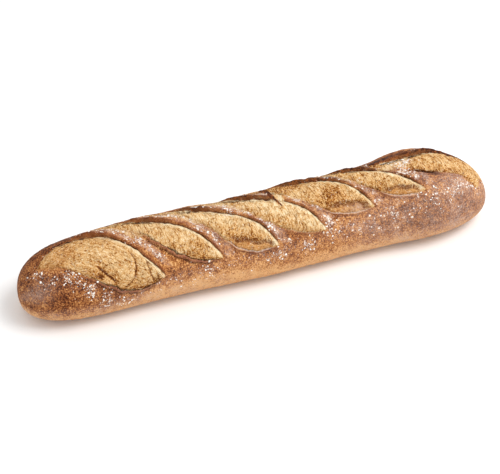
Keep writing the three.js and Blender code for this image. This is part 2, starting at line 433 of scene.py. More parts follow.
# The first bed stretched furthest: crescent creases near its front end, and a pit with a fold. Each
# crescent is its place along the bed, its slant and its bend, and where it ends across the bed.
CRESCENTS = [(84, 0.05, 0.025, 22), (97.5, 0.55, 0.0, 16), (103, 0.55, 0.0, 6)]
CRESCENT_DROP = 2.2
CRESCENT_STEP = (-0.8, 0.5, 1, 9)
CRESCENT_LINE = (0.4, 0.9)
CRESCENT_TAPER = 8
FIRST_RIM = (1.0, 4.0)
CRESCENT_WANDER = [(1.2, 8, 19)]
first = cuts[0]
in_first = smooth(first["inside"], *FIRST_RIM)
# Where the creases lie, for the painted shade down inside them.
crease_shade = np.zeros(x.shape)
crescent_wander = layered(CRESCENT_WANDER)
for crescent_place, slant, bend, crescent_end in CRESCENTS:
    past = first["lengthwise"] + slant * first["across"] + bend * first["across"] ** 2 - crescent_place
    past = past + crescent_wander
    reaches = in_first * smooth(first["across"], crescent_end, crescent_end - CRESCENT_TAPER)
    height -= CRESCENT_DROP * reaches * between(past, *CRESCENT_STEP)
    crease_shade += reaches * hump(past, *CRESCENT_LINE)
PIT_PLACE = (55.5, -8.5)
PIT_REACH = 3.0
PIT_DEPTH = 2.2
FOLD_START = (51, 0.5)
FOLD_END = (71.5, -12)
FOLD_WIDTH = 1.1
FOLD_DEPTH = 1.0
FOLD_SHARES = (-0.1, 0.1, 0.7, 1.1)
fold_share, fold_side = beside_line(first["lengthwise"], first["across"], FOLD_START, FOLD_END)
fold = hump(fold_side, 0, FOLD_WIDTH) * between(fold_share, *FOLD_SHARES)
pit = hump(np.hypot(first["lengthwise"] - PIT_PLACE[0], first["across"] - PIT_PLACE[1]), 0, PIT_REACH)
height -= in_first * (PIT_DEPTH * pit + FOLD_DEPTH * fold)
crease_shade += in_first * (pit + fold)

# The seventh bed has come away from its lip in a short open crevice.
CREVICE_START = (137, 12.5 * ARC_PER_DEGREE)
CREVICE_END = (165, 27 * ARC_PER_DEGREE)
CREVICE_DEPTH = 2.4
CREVICE_WIDTH = 1.25
CREVICE_WANDER = 0.8
CREVICE_DARKNESS = 2
CREVICE_SHARES = (0, 0.3, 0.6, 1)
crevice_share, crevice_side = beside_line(x, arc, CREVICE_START, CREVICE_END)
crevice = hump(crevice_side + CREVICE_WANDER * wobble, 0, CREVICE_WIDTH)
crevice = crevice * between(crevice_share, *CREVICE_SHARES)
height -= CREVICE_DEPTH * crevice
# The crevice is marked for painted shade, darker than the creases.
crease_shade += CREVICE_DARKNESS * crevice

# The strip between the fourth and fifth scores tore through: a stub of its crust points into the gap.
STUB_ROOT = (8, -27 * ARC_PER_DEGREE)
STUB_TIP = (17.5, 13 * ARC_PER_DEGREE)
STUB_HALF_WIDTHS = (3.2, 0.9)
STUB_HEIGHT = 2.2
STUB_BAKE = 0.85
STUB_WANDER = 0.6
STUB_END_SLOPE = 25
STUB_RIM = (-0.9, 0.7)
STUB_FALL = (1.3, 0.3)  # shares of its length where it sinks to the bed
stub_share, stub_side = beside_line(x, arc, STUB_ROOT, STUB_TIP)
stub_edge = mix(*STUB_HALF_WIDTHS, np.clip(stub_share, 0, 1)) - np.abs(stub_side) + STUB_WANDER * wobble
stub_edge = np.minimum(stub_edge, STUB_END_SLOPE * np.minimum(stub_share, 1 - stub_share))
stub = smooth(stub_edge, *STUB_RIM)
off_stub = 1 - stub
height = mix(height, STUB_HEIGHT * smooth(stub_share, *STUB_FALL), stub)

# The crust round the scores: dents and slow waves from the hand that rolled it, fine blisters, and small
# folds along the strips between scores.
DENTS = [
    (-28, -42, 16, 10, 1.7),
    (83, -42, 14, 10, 1.3),
    (113, -42, 14, 10, 1.9),
    (-76, -40, 14, 10, 0.8),
    (-190, -30, 18, 14, -1.0),
]
WAVES = [(0.45, 34, 8)]
BLISTERS = [(1.0, 4.5, 9), (0.6, 2.1, 10)]
BLISTER_HEIGHTS = (0.26, 0.4)  # away from the strips, and on them
STRIP_SLANT = np.radians(37)
STRIP_REACH = (-16, -10)
STRIP_FOLD = (16, 2.6, 1)
STRIP_FOLD_HEIGHT = 0.5
height -= spots(DENTS)
strip_run = x * np.cos(STRIP_SLANT) + arc * np.sin(STRIP_SLANT)
strip_side = x * np.sin(STRIP_SLANT) - arc * np.cos(STRIP_SLANT)
strip_place = np.stack([strip_run, strip_side, 0 * x], axis=-1)
on_strip = smooth(ear_edge, *STRIP_REACH) * smooth(lip_edge, *STRIP_REACH)
crust_relief = layered(WAVES) + mix(*BLISTER_HEIGHTS, on_strip) * layered(BLISTERS)
crust_relief += STRIP_FOLD_HEIGHT * on_strip * noise(strip_place, STRIP_FOLD, 23)
height += (1 - in_bed) * crust_relief
height *= relief_share

# The ear and the lip lean over the bed.
ear_lean = EAR_OVERHANG * every["ear_shows"] * hump(every["inside_ear"], *EAR_LEAN)
lip_lean = LIP_OVERHANG * every["lip_shows"] * hump(every["inside_lip"], *LIP_LEAN)
inward = relief_share * np.where(every["across"] > 0, -ear_lean, lip_lean)
place_x = x + (inward * every["towards_x"]).sum(axis=0)
place_turn = turn + (inward * every["towards_arc"]).sum(axis=0) / ARC_PER_DEGREE
surface = skin(place_x, place_turn) + skin_normal(place_x, place_turn) * height[..., None]
surface[..., 2] = np.maximum(surface[..., 2], 0)

near_tip = skin(np.array([-LENGTH / 2]), np.zeros(1))
far_tip = skin(np.array([LENGTH / 2]), np.zeros(1))
loaf_places = np.concatenate([near_tip, surface.reshape(-1, 3), far_tip])
box_middle = (loaf_places.max(axis=0) + loaf_places.min(axis=0)) / 2
loaf_shift = np.array([0, (solid_high.y + solid_low.y) / 2 / MM - box_middle[1], 0])
loaf_places = (loaf_places + loaf_shift) * MM

number = 1 + np.arange(RINGS * COLUMNS).reshape(RINGS, COLUMNS)
beside = np.roll(number, -1, axis=1)
quads = np.stack([number[:-1], beside[:-1], beside[1:], number[1:]], axis=-1).reshape(-1, 4)
near_fan = np.stack([np.zeros(COLUMNS, int), beside[0], number[0]], axis=-1)
far_fan = np.stack([np.full(COLUMNS, RINGS * COLUMNS + 1), number[-1], beside[-1]], axis=-1)

loaf_mesh = bpy.data.meshes.new("loaf_crust")
loaf_mesh.from_pydata(loaf_places.tolist(), [], quads.tolist() + near_fan.tolist() + far_fan.tolist())
loaf_mesh.polygons.foreach_set("use_smooth", np.ones(len(loaf_mesh.polygons), bool))

# A flat map of the crust: x along it and the turn round it, with its seam under the sole.
across_map = np.arange(COLUMNS + 1) / COLUMNS
along_map = np.arange(RINGS + 2) / (RINGS + 1)
ring_map, column_map = np.meshgrid(along_map[1:-1], across_map, indexing="ij")
corner_map = np.stack([ring_map, column_map], axis=-1)
quad_corners = [corner_map[:-1, :-1], corner_map[:-1, 1:], corner_map[1:, 1:], corner_map[1:, :-1]]
quad_map = np.stack(quad_corners, axis=2)
half_step = np.full(COLUMNS, 0.5 / COLUMNS)
near_tip_map = np.stack([np.zeros(COLUMNS), across_map[:-1] + half_step], axis=-1)
far_tip_map = np.stack([np.ones(COLUMNS), across_map[:-1] + half_step], axis=-1)
near_map = np.stack([near_tip_map, corner_map[0, 1:], corner_map[0, :-1]], axis=1)
far_map = np.stack([far_tip_map, corner_map[-1, :-1], corner_map[-1, 1:]], axis=1)
flat_map = np.concatenate([quad_map.reshape(-1, 2), near_map.reshape(-1, 2), far_map.reshape(-1, 2)])
loaf_mesh.uv_layers.new(name="OFBake").data.foreach_set("uv", flat_map.astype(np.float32).ravel())

# Where the crust is baked darker: the crown and both ends, less low on the sides, and most behind the
# seventh ear. The ears are burnt towards their rear ends.
CROWN_TURN = 5
CROWN_BAKE = 0.44
SIDE_BAKE = 0.3
NEAR_CROWN_BAKE = 0.16  # added towards the near or the far end
NEAR_SIDE_BAKE = 0.27
FAR_SIDE_BAKE = 0.42
NEAR_END = (-95, -150)
FAR_END = (60, 150)
SIDES = (55, 95)  # degrees from the crown over which it gives way to the sides
BAKE_CLOUDS = [(0.12, 26, 12), (0.06, 7, 13)]
BURN_SHARES = np.array([0.3, 0.65, 1, 1, 1, 1, 1, 1, 1])  # how far each score's ear is burnt
BURN_TURNS = (2, -16)
SEVENTH_SHARES = (-0.1, 0.1, 0.8, 1.0)
SEVENTH_BAND = (-13, -8, 1.0, 2.5)
SEVENTH_TURNS = (-12, -26)
PALER_PATCHES = [
    (-188, 17, 9, 6, 0.25),
    (-51, 72, 13, 8, 0.22),
    (8, 67, 14, 8, 0.15),
    (143, 26, 8, 4, -0.25),
    (-72, 93, 18, 9, 0.16),
    (124, 63, 13, 9, -0.13),
]
front_x = np.array([score["front"][0] for score in SCORES[:MAIN_SCORES]])
front_turn = np.array([score["front"][1] for score in SCORES[:MAIN_SCORES]])
below_row = turn - np.interp(x, front_x, front_turn)
from_crown = np.abs(turn - CROWN_TURN)
near_end = smooth(x, *NEAR_END)
far_end = smooth(x, *FAR_END)
ear_burn = ear_depth * smooth(turn, *BURN_TURNS) * BURN_SHARES[ear_choice]
behind_seventh = between(cuts[SEVENTH]["along"], *SEVENTH_SHARES) * (ear_choice == SEVENTH)
behind_seventh = behind_seventh * between(ear_edge, *SEVENTH_BAND) * smooth(turn, *SEVENTH_TURNS)
crown_bake = CROWN_BAKE + NEAR_CROWN_BAKE * near_end
side_bake = SIDE_BAKE + NEAR_SIDE_BAKE * near_end + FAR_SIDE_BAKE * far_end
bake = mix(crown_bake, side_bake, smooth(from_crown, *SIDES))
# Each amount of browning, and where it lies by x in millimetres and turn in degrees.
bake += total_of(
    [
        (-0.45, smooth(from_crown, 80, 112)),  # low on both sides
        (0.1, between(turn, -75, -45, -30, -8)),  # the rear shoulder
        (-0.31, between(x, -125, -100, -50, 5) * smooth(turn, 80, 96)),  # low on the front's near half
        (-0.15, on_strip * hump(turn, 0, 25)),  # the strips on the crown
        (0.14, between(x, 100, 130, 180, 200) * hump(turn, 64, 15)),  # the front of the swelling
        (-0.16, far_end * smooth(turn, 74, 92)),  # low on the front's far end
        (0.13, between(x, -120, -90, 20, 60) * hump(below_row, 4, 10)),  # below the scores' front ends
        (0.6, behind_seventh),
        (-1.0, spots(PALER_PATCHES)),
    ]
)
bake = np.clip(bake + layered(BAKE_CLOUDS), 0, 1)
bake = mix(bake, STUB_BAKE, stub)

# Where the bed is toasted: towards the rear end, along the lip of the front half, least in the shelter
# of the ear, and in a few patches that stood highest in the oven. Down in its pits and creases it is
# darkened as painted shade.
BED_TOAST = 0.33
LIP_SIDE = (0.55, 0.1)  # shares from lip to ear, then shares of a score's length
FRONT_HALF = (0.35, 0.75)
REAR_HALF = (0.5, 0.0)
FIRST_BED_END = -150  # nearer than this x the rear half is toasted less
FIRST_BED_TOAST = 0.5
TOASTED_PATCHES = [
    (-20, 50, 11, 4, 0.36),
    (-17, 45, 13, 8, 0.16),
    (-34, 42, 10, 8, 0.1),
    (65, 14, 9, 8, 0.42),
    (78, 36, 10, 4, 0.3),
    (34, -20, 13, 7, 0.4),
    (-63, 44, 12, 8, 0.26),
    (-81, 46, 10, 7, -0.3),
    (-130, 62, 9, 7, -0.15),
    (-156, 44, 6, 5, 0.22),
    (-171, 4, 9, 8, 0.12),
    (-11, 8, 14, 7, 0.08),
    (64, 2, 16, 6, 0.08),
    (98, 0, 14, 5, 0.08),
    (176, 13, 16, 6, -0.25),
    (-20, 29, 13, 5, 0.08),
    (124, -5, 11, 7, -0.3),
]
towards_lip = smooth(blended["share"], *LIP_SIDE) * smooth(blended["along"], *FRONT_HALF)
rear_half = smooth(blended["along"], *REAR_HALF) * mix(1.0, FIRST_BED_TOAST, x < FIRST_BED_END)
toast = BED_TOAST + blended["toast"]
toast += total_of(
    [
        (0.24, towards_lip),
        (0.28, rear_half),
        (-0.22, hump(ear_edge, 2.4, 2.0)),  # the shelter of the ear
        (1.0, spots(TOASTED_PATCHES)),
        (0.08, noise(skin_places, 10, 14)),
        (0.1, strokes),
        (0.08, crumb),
        # painted shade down in the pits and creases
        (0.15, pits),
        (0.6, np.minimum(crease_shade, 1)),
    ]
)
toast = np.clip(toast, 0, 1)

# Where flour lies: on the strips between scores, below their front ends and over the near end. Beside
# the second score it starts further behind the first one's ear, and burnt crust has less of it.
FLOUR_DRIFTS = [(1.0, 13, 15), (0.5, 5, 16)]
FLOUR_SPECKS = [(1.0, 4, 24), (0.6, 2.4, 25)]
FLOUR_STRIP = (-15, -10)
FLOUR_STARTS = (-1.4, -2.6)  # millimetres from the ear's edge, elsewhere and beside the second score
FLOUR_FULLS = (-3.2, -6.0)
FLOUR_FILM = 0.05
STRIP_FLOUR = 0.72
CREST_FLOUR = 0.5
BELOW_FLOUR = 0.6
SIDE_FLOUR = 0.24
NEAR_FLOUR = 0.75
FLOUR_BY_DRIFT = (0.4, 1.05)  # share of the flour off and on a drift or a speck
FLOUR_BY_SPECK = (0.6, 1.3)
BURNT_FLOUR_LOSS = 0.5
BURN_RIM = (-4, -2.5)
CRUST_RIM = (-1.2, -0.2)
CREST_BAND = (-12, -6, -2.6, -0.8)
FLOUR_PATCHES = [
    (-29.5, 7, 5, 3.5, 1.0),
    (-97, 40, 3, 9, 0.45),
    (95, 2, 5, 4, 0.45),
    (139, -1, 10, 3.5, 0.9),
    (124, -5, 9, 5, 0.45),
    (132, 9, 8, 4, 0.9),
    (57, 50, 6, 9, 0.3),
    (-119, 12, 6, 5, 0.3),
    (-110, 24, 5, 5, -0.25),
    (-82, 67, 9, 5, -0.1),
    (77, 67, 8, 6, -0.2),
    (47, 34, 6, 4, -0.4),
    (101, 35, 6, 4, -0.35),
    (143, 25, 8, 4, -0.6),
    (-103, 33, 12, 4, -0.25),
]
drifts = smooth(layered(FLOUR_DRIFTS), -0.25, 0.55)
specks = smooth(layered(FLOUR_SPECKS), -0.3, 0.5)
burn_band = ear_burn * smooth(ear_edge, *BURN_RIM)
on_burnt = np.maximum(burn_band, behind_seventh)
on_crust = 1 - smooth(inside, *CRUST_RIM)
beside_second = smooth(turn, 5, 30) * (ear_choice == 0)
strip = smooth(ear_edge, *FLOUR_STRIP) * smooth(lip_edge, *FLOUR_STRIP)
strip = strip * smooth(ear_edge, mix(*FLOUR_STARTS, beside_second), mix(*FLOUR_FULLS, beside_second))
crest = CREST_FLOUR * between(ear_edge, *CREST_BAND) * smooth(turn, 60, 25) * (1 - beside_second)
front_strip = smooth(turn, 20, 40) * smooth(x, -80, -40)
on_strips = STRIP_FLOUR * strip * mix(1.0, 0.85, front_strip) + crest
below = BELOW_FLOUR * hump(below_row, 12, 15) * smooth(x, -150, -110)
dusty_side = SIDE_FLOUR * smooth(x, 10, 90) * hump(below_row, 24, 24)
near_side = NEAR_FLOUR * hump(first["inside_lip"], -11, 11)
near_side = near_side * between(first["along"], -0.15, 0.05, 0.6, 1.0)
flour = on_crust * np.clip(np.maximum(on_strips, below + dusty_side + near_side), 0, 1)
flour = flour * mix(*FLOUR_BY_DRIFT, drifts) * mix(*FLOUR_BY_SPECK, specks)
flour = np.clip(flour + FLOUR_FILM * (1 - smooth(from_crown, 90, 130)), 0, 1)
flour = np.clip((flour + spots(FLOUR_PATCHES)) * off_stub * (1 - BURNT_FLOUR_LOSS * on_burnt), 0, 1)

# Where flour is a thin dust: on the strips, on the front below the scores and over both ends. At the
# near tip the same grey is a painted sheen, the crust's shine painted into its colour.
TIP_SHEEN = [(-206, 54, 13, 13, 1.0)]
FAR_DUST = [(177, 34, 17, 12, 0.6)]
REAR_DUST = [(128, 0, 11, 5, 0.4)]
FLAP_DUST = [(84, 41, 13, 5, 0.8)]
DUST_BY_DRIFT = (0.6, 1.0)
DUST_BY_SPECK = (0.4, 1.35)
BURNT_DUST_LOSS = 0.8
low_front = mix(0.5, 0.27, smooth(x, -60, -20)) + 0.25 * smooth(x, 90, 140)
far_side = between(x, 40, 100, 206, 217) * hump(below_row, 40, 40)
dust_and_sheen = total_of(
    [
        (1.0, strip),
        (0.5, below),
        (mix(0.6, 0.8, smooth(x, 125, 165)), far_side),
        (0.15, near_side),
        # painted sheen on the near tip, not flour
        (1.0, spots(TIP_SHEEN)),
        (smooth(turn, 84, 100), low_front),
    ]
)
dust_and_sheen = on_crust * np.clip(dust_and_sheen, 0, 1)
dust_and_sheen = dust_and_sheen * mix(*DUST_BY_DRIFT, drifts) * mix(1.0, mix(*DUST_BY_SPECK, specks), strip)
dust_and_sheen = dust_and_sheen + on_crust * spots(FAR_DUST) + spots(REAR_DUST) + on_flap * spots(FLAP_DUST)
dust_and_sheen = np.clip(dust_and_sheen, 0, 1) * off_stub * (1 - BURNT_DUST_LOSS * on_burnt)

# The lip's rear part has no edge: there the crust fades into the bed over some millimetres. The seventh
# bed has crust over a part of it, and the first a golden skin.
LIP_FADE = 0.3
CRUST_OVER_BED = [(132, 9, 8, 3.5, 7)]
GOLDEN_PATCH = [(-180, 9, 15, 12, 0.42)]
FLAP_SKIN = 0.8
EDGE_LIMIT = 10
LIP_HARDNESS = (0.0, 0.6)
STUB_SHARPNESS = 2
GOLDEN_RIM = (-0.5, 1.0)
SCORCH_RIM = (2.5, 1.0)
lip_hard = smooth(own["lip_hard"], *LIP_HARDNESS)
faded_lip = (own["inside_lip"] + own["fade"] * (1 - lip_hard)) * mix(LIP_FADE, 1.0, lip_hard)
bed_edge = np.minimum(np.minimum(own["inside_ear"], faded_lip), -STUB_SHARPNESS * stub_edge)
bed_edge = bed_edge - spots(CRUST_OVER_BED)
golden = spots(GOLDEN_PATCH) * smooth(inside, *GOLDEN_RIM)
scorch = np.maximum(burn_band * off_stub * smooth(ear_edge, *SCORCH_RIM), behind_seventh)

edge_fields = {"bed_edge": bed_edge, "ear_edge": ear_edge, "lip_edge": lip_edge, "flap_edge": flap_edge}
depth_fields = {
    "ear_depth": ear_depth * off_stub,
    "ear_burn": ear_burn * off_stub,
    "ear_front": picked(every["front"], ear_choice) * off_stub,
    "ear_rear": picked(every["rear"], ear_choice) * off_stub,
    "lip_depth": picked(every["lip_shows"], lip_choice),
    "flap_depth": flap_depth,
    "ridge_depth": picked(every["ridge"], lip_choice),
    "scorch": scorch,
}
loaf_fields = {
    "flap": np.maximum(FLAP_SKIN * on_flap, golden),
    "bake": bake,
    "toast": toast,
    "flour": flour,
    "dust_and_sheen": dust_and_sheen,
    "crease": np.clip(crease_shade, 0, CREVICE_DARKNESS),
}
loaf_fields |= {name: np.clip(edge, -EDGE_LIMIT, EDGE_LIMIT) for name, edge in edge_fields.items()}
loaf_fields |= {name: depth * relief_share for name, depth in depth_fields.items()}
for name, values in loaf_fields.items():
    with_tips = np.concatenate([values[:1].mean(axis=1), values.ravel(), values[-1:].mean(axis=1)])
    loaf_mesh.attributes.new(name, "FLOAT", "POINT").data.foreach_set("value", with_tips.astype(np.float32))
for name, vectors in {"bed_place": bed_place, "strip_place": strip_place}.items():
    with_tips = np.concatenate([vectors[0, :1], vectors.reshape(-1, 3), vectors[-1, :1]])
    vector_attribute = loaf_mesh.attributes.new(name, "FLOAT_VECTOR", "POINT")
    vector_attribute.data.foreach_set("vector", with_tips.astype(np.float32).ravel())

loaf = bpy.data.objects.new("loaf_crust", loaf_mesh)
bpy.context.scene.collection.objects.link(loaf)


def colour(code):
    """An sRGB hex code as linear red, green, blue and alpha."""
    srgb = np.array([int(code[i : i + 2], 16) for i in (1, 3, 5)]) / 255
    linear = np.where(srgb <= 0.04045, srgb / 12.92, ((srgb + 0.055) / 1.055) ** 2.4)
    return (*linear.tolist(), 1.0)


def add_node(tree, kind, inputs=None, output=None, stops=(), **settings):
    """Adds one node with its settings and a ramp's stops, sets or links its inputs, and gives one
    output."""
    node = tree.nodes.new(kind)
    for name, value in settings.items():
        setattr(node, name, value)
    for index, (place, code) in enumerate(stops):
        elements = node.color_ramp.elements
        element = elements[index] if index < len(elements) else elements.new(place)
        element.position = place
        element.color = colour(code)
    for name, value in (inputs or {}).items():
        named = [socket for socket in node.inputs if socket.enabled and socket.name == name]
        socket = node.inputs[name] if isinstance(name, int) else named[0]
        if isinstance(value, bpy.types.NodeSocket):
            tree.links.new(value, socket)
        else:
            socket.default_value = value
    shown = [socket for socket in node.outputs if socket.enabled and output in (None, socket.name)]
    return shown[0] if shown else None


# Sourdough crust and crumb, baked matt: crust from golden to red-brown, torn beds from cream to toasted,
# the ears darkest, and flour as a fine white dust over it.
crust = bpy.data.materials.new("baked_sourdough_crust")
crust.use_nodes = True
tree = crust.node_tree
tree.nodes.clear()
place = add_node(tree, "ShaderNodeTexCoord", output="Object")
at = {
    name: add_node(tree, "ShaderNodeAttribute", output="Fac", attribute_name=name) for name in loaf_fields
}
bed_lines = add_node(tree, "ShaderNodeAttribute", output="Vector", attribute_name="bed_place")
strip_lines = add_node(tree, "ShaderNodeAttribute", output="Vector", attribute_name="strip_place")

# Size, detail and roughness of each pattern. Real crumb and flour are finer: theirs are as coarse as they
# need to be to show.
CRUST_PATTERNS = [
    (6 * MM, 4, 0.6),  # mottle, the clouds of browning
    (1.3 * MM, 4, 0.65),  # grain of the crust
    (1.0 * MM, 1, 0.5),  # fine crumb
    (2.6 * MM, 3, 0.6),  # flakes of burnt skin
    (1.8 * MM, 3, 0.7),  # patches of flour
]
mottle, grain, fine, flake, patch = [
    add_node(
        tree,
        "ShaderNodeTexNoise",
        {"Vector": place, "Scale": 1 / size, "Detail": detail, "Roughness": roughness},
    )
    for size, detail, roughness in CRUST_PATTERNS
]
# Patterns drawn out along the strips and the torn strokes: length and width in millimetres, the unit of
# these two places, then detail and distortion.
DRAWN_PATTERNS = [
    (strip_lines, 8, 1.3, 3, 0.4),  # fibres of the ears
    (bed_lines, 6, 0.8, 2, 0.5),  # strokes of the torn beds
    (bed_lines, 7, 3.5, 3, 0.6),  # wrinkles of their skin
]
drawn_out = []
for lines, length, width, detail, distortion in DRAWN_PATTERNS:
    stretched = add_node(tree, "ShaderNodeMapping", {"Vector": lines, "Scale": (1 / length, 1 / width, 1)})
    drawn_out.append(
        add_node(
            tree,
            "ShaderNodeTexNoise",
            {"Vector": stretched, "Scale": 1.0, "Detail": detail, "Distortion": distortion},
        )
    )
fibre, stroke, wrinkle = drawn_out

# The wrinkles are the thin lines where their pattern passes its middle value, in patches.
WRINKLE_FINENESS = 0.05
wrinkle = add_node(tree, "ShaderNodeMath", {0: wrinkle, 1: 0.5}, operation="SUBTRACT")
wrinkle = add_node(tree, "ShaderNodeMath", {0: wrinkle}, operation="ABSOLUTE")
wrinkle = add_node(
    tree,
    "ShaderNodeMapRange",
    {"Value": wrinkle, "From Min": 0.0, "From Max": WRINKLE_FINENESS, "To Min": 1.0, "To Max": 0.0},
)
wrinkled = add_node(tree, "ShaderNodeMapRange", {"Value": mottle, "From Min": 0.42, "From Max": 0.56})
wrinkle = add_node(tree, "ShaderNodeMath", {0: wrinkle, 1: wrinkled}, operation="MULTIPLY")

CRUST_LEVEL = 2.175  # about what the patterns add on average
CRUST_RAMP = [(0.0, "#E4B076"), (0.25, "#C98B4F"), (0.5, "#A06132"), (0.75, "#70391A"), (1.0, "#351506")]
crust_tone = at["bake"]
for pattern, weight in [(mottle, 1.15), (grain, 2.1), (fine, 1.2)]:
    crust_tone = add_node(
        tree, "ShaderNodeMath", {0: pattern, 1: weight, 2: crust_tone}, operation="MULTIPLY_ADD"
    )
crust_tone = add_node(tree, "ShaderNodeMath", {0: crust_tone, 1: CRUST_LEVEL}, operation="SUBTRACT")
crust_colour = add_node(tree, "ShaderNodeValToRGB", {"Fac": crust_tone}, stops=CRUST_RAMP)

# The more a bed is toasted, the stronger the contrast of its crumb.
BED_LEVEL = 0.36
BED_RAMP = [(0.0, "#F4E2BC"), (0.3, "#E0BA86"), (0.55, "#C99556"), (0.8, "#A2601F"), (1.0, "#6A340C")]
torn = add_node(
    tree,
    "ShaderNodeMapRange",
    {"Value": stroke, "From Min": 0.57, "From Max": 0.63, "To Max": 0.22},
    interpolation_type="SMOOTHSTEP",
)
crumb_depth = add_node(tree, "ShaderNodeMath", {0: at["toast"], 1: 2.4, 2: -0.1}, operation="MULTIPLY_ADD")
crumb_tone = add_node(tree, "ShaderNodeMath", {0: fine, 1: grain}, operation="ADD")
crumb_tone = add_node(tree, "ShaderNodeMath", {0: crumb_tone, 1: 1.0}, operation="SUBTRACT")
bed_tone = at["toast"]
for pattern, weight in [(stroke, 0.7), (crumb_tone, crumb_depth), (torn, 1.0), (wrinkle, 0.4)]:
    bed_tone = add_node(
        tree, "ShaderNodeMath", {0: pattern, 1: weight, 2: bed_tone}, operation="MULTIPLY_ADD"
    )
bed_tone = add_node(tree, "ShaderNodeMath", {0: bed_tone, 1: BED_LEVEL}, operation="SUBTRACT")
bed_colour = add_node(tree, "ShaderNodeValToRGB", {"Fac": bed_tone}, stops=BED_RAMP)

FLAP_RAMP = [(0.3, "#E2B784"), (0.5, "#CB9052"), (0.68, "#93522A")]
flap_colour = add_node(tree, "ShaderNodeValToRGB", {"Fac": grain}, stops=FLAP_RAMP)

# How far the grain frays each edge, in millimetres, and the depth of creases.
RAGGEDNESS = {"bed_edge": 3.0, "ear_edge": 1.6, "lip_edge": 1.6, "flap_edge": 2.5, "crease": 0.8}
ragged = {
    name: add_node(tree, "ShaderNodeMath", {0: grain, 1: amount, 2: at[name]}, operation="MULTIPLY_ADD")
    for name, amount in RAGGEDNESS.items()
}
bed_share = add_node(
    tree,
    "ShaderNodeMapRange",
    {"Value": ragged["bed_edge"], "From Min": 1.0, "From Max": 2.0},
    interpolation_type="SMOOTHSTEP",
)
surface_colour = crust_colour
for share, over in [(bed_share, bed_colour), (at["flap"], flap_colour)]:
    surface_colour = add_node(
        tree, "ShaderNodeMix", {"Factor": share, "A": surface_colour, "B": over}, data_type="RGBA"
    )

# The faces of the ears are baked red-brown, darkest at the rear, and darker towards their feet, partly
# as painted shade. The dark lines at the feet of ears and lips and in the groove outside a standing lip,
# and the broad dark band inside the rear of each ear, are painted shade. A flap inside a lip is smooth and
# golden up to a pale rim, and a lip that stands up is darker. Each band is an edge, where it shows, the
# millimetres inside the edge where it starts, is full, leaves and ends, its strength and its colour.
BANDS = [
    ("ear_edge", "ear_front", (1.2, 2.2, 3.2, 5.4), 0.5, "#F8E6C0"),
    ("ear_edge", "ear_depth", (-2.4, -1.5, 1.0, 1.8), 0.6, "#A0603C"),
    # the ear's face darker towards its foot: baked colour and painted shade
    ("ear_edge", "ear_depth", (-1.6, -1.1, -0.3, 0.3), 0.55, "#6A341E"),
    ("ear_edge", "ear_burn", (-3.4, -2.0, 1.4, 2.4), 0.9, "#2F1207"),
    ("flap_edge", "flap_depth", (-1.0, 1.0, 2.6, 6.0), 0.95, "#6E3A1A"),
    ("lip_edge", "flap_depth", (-0.4, 0.4, 1.0, 1.9), 0.9, "#F0D6C4"),
    ("lip_edge", "ridge_depth", (-1.7, -1.1, 0.2, 0.8), 0.6, "#A86E58"),
    # painted shade in the groove outside a standing lip
    ("lip_edge", "ridge_depth", (-3.2, -2.5, -1.9, -1.3), 0.8, "#421D0B"),
    # painted shade: a dark line at the foot of each ear
    ("ear_edge", "ear_depth", (0.4, 1.0, 1.4, 2.0), 0.8, "#62300F"),
    # painted shade: the line at the ear's foot, stronger along the front half
    ("ear_edge", "ear_front", (0.2, 0.7, 1.0, 1.6), 0.65, "#3C1A0A"),
    ("ear_edge", "ear_rear", (-0.1, 0.3, 1.1, 1.6), 0.45, "#B06A34"),
    # painted shade: the rear ear's shadow on its bed
    ("ear_edge", "ear_rear", (2.4, 3.2, 6.4, 8.6), 0.95, "#32150A"),
    ("lip_edge", "lip_depth", (-2.2, -1.4, -0.8, -0.2), 0.6, "#5E2C14"),
    # painted shade in the crevice inside a standing lip
    ("lip_edge", "ridge_depth", (0.2, 1.0, 2.0, 3.0), 0.9, "#35170A"),
]
# The pattern that breaks up the bands of each kind, its values where they are faintest and full, and how
# much of them is left where they are faintest.
BREAKS = {
    "ear_front": (grain, 0.33, 0.58, 0.4),
    "lip_depth": (grain, 0.33, 0.58, 0.4),
    "ear_rear": (mottle, 0.42, 0.54, 0.2),
    "flap_depth": (fine, 0.4, 0.56, 0.45),
    "ridge_depth": (grain, 0.35, 0.52, 0.45),
    "ear_burn": (fibre, 0.4, 0.56, 0.3),
    "ear_depth": (fibre, 0.4, 0.56, 0.3),
}
broken = {
    depth: add_node(
        tree,
        "ShaderNodeMapRange",
        {"Value": pattern, "From Min": faint, "From Max": full, "To Min": left},
    )
    for depth, (pattern, faint, full, left) in BREAKS.items()
}
for edge, depth, (start, full, leave, end), strength, code in BANDS:
    rise = add_node(
        tree,
        "ShaderNodeMapRange",
        {"Value": ragged[edge], "From Min": start, "From Max": full, "To Max": strength},
        interpolation_type="SMOOTHSTEP",
    )
    fall = add_node(
        tree,
        "ShaderNodeMapRange",
        {"Value": ragged[edge], "From Min": leave, "From Max": end, "To Min": 1.0, "To Max": 0.0},
        interpolation_type="SMOOTHSTEP",
    )
    band = rise
    for share in (fall, at[depth], broken[depth]):
        band = add_node(tree, "ShaderNodeMath", {0: band, 1: share}, operation="MULTIPLY")
    surface_colour = add_node(
        tree, "ShaderNodeMix", {"Factor": band, "A": surface_colour, "B": colour(code)}, data_type="RGBA"
    )

# Painted shade: creases are darkened down inside and the crevice is painted nearly black. Each tone is
# the depth where the colour starts and is full, its strength and the colour.
CREASE_SHADE_TONES = [(0.8, 1.2, 0.85, "#5A2E12"), (1.5, 2.0, 0.95, "#1E0C05")]
for start, full, most, code in CREASE_SHADE_TONES:
    sunk = add_node(
        tree,
        "ShaderNodeMapRange",
        {"Value": ragged["crease"], "From Min": start, "From Max": full, "To Max": most},
    )
    surface_colour = add_node(
        tree, "ShaderNodeMix", {"Factor": sunk, "A": surface_colour, "B": colour(code)}, data_type="RGBA"
    )

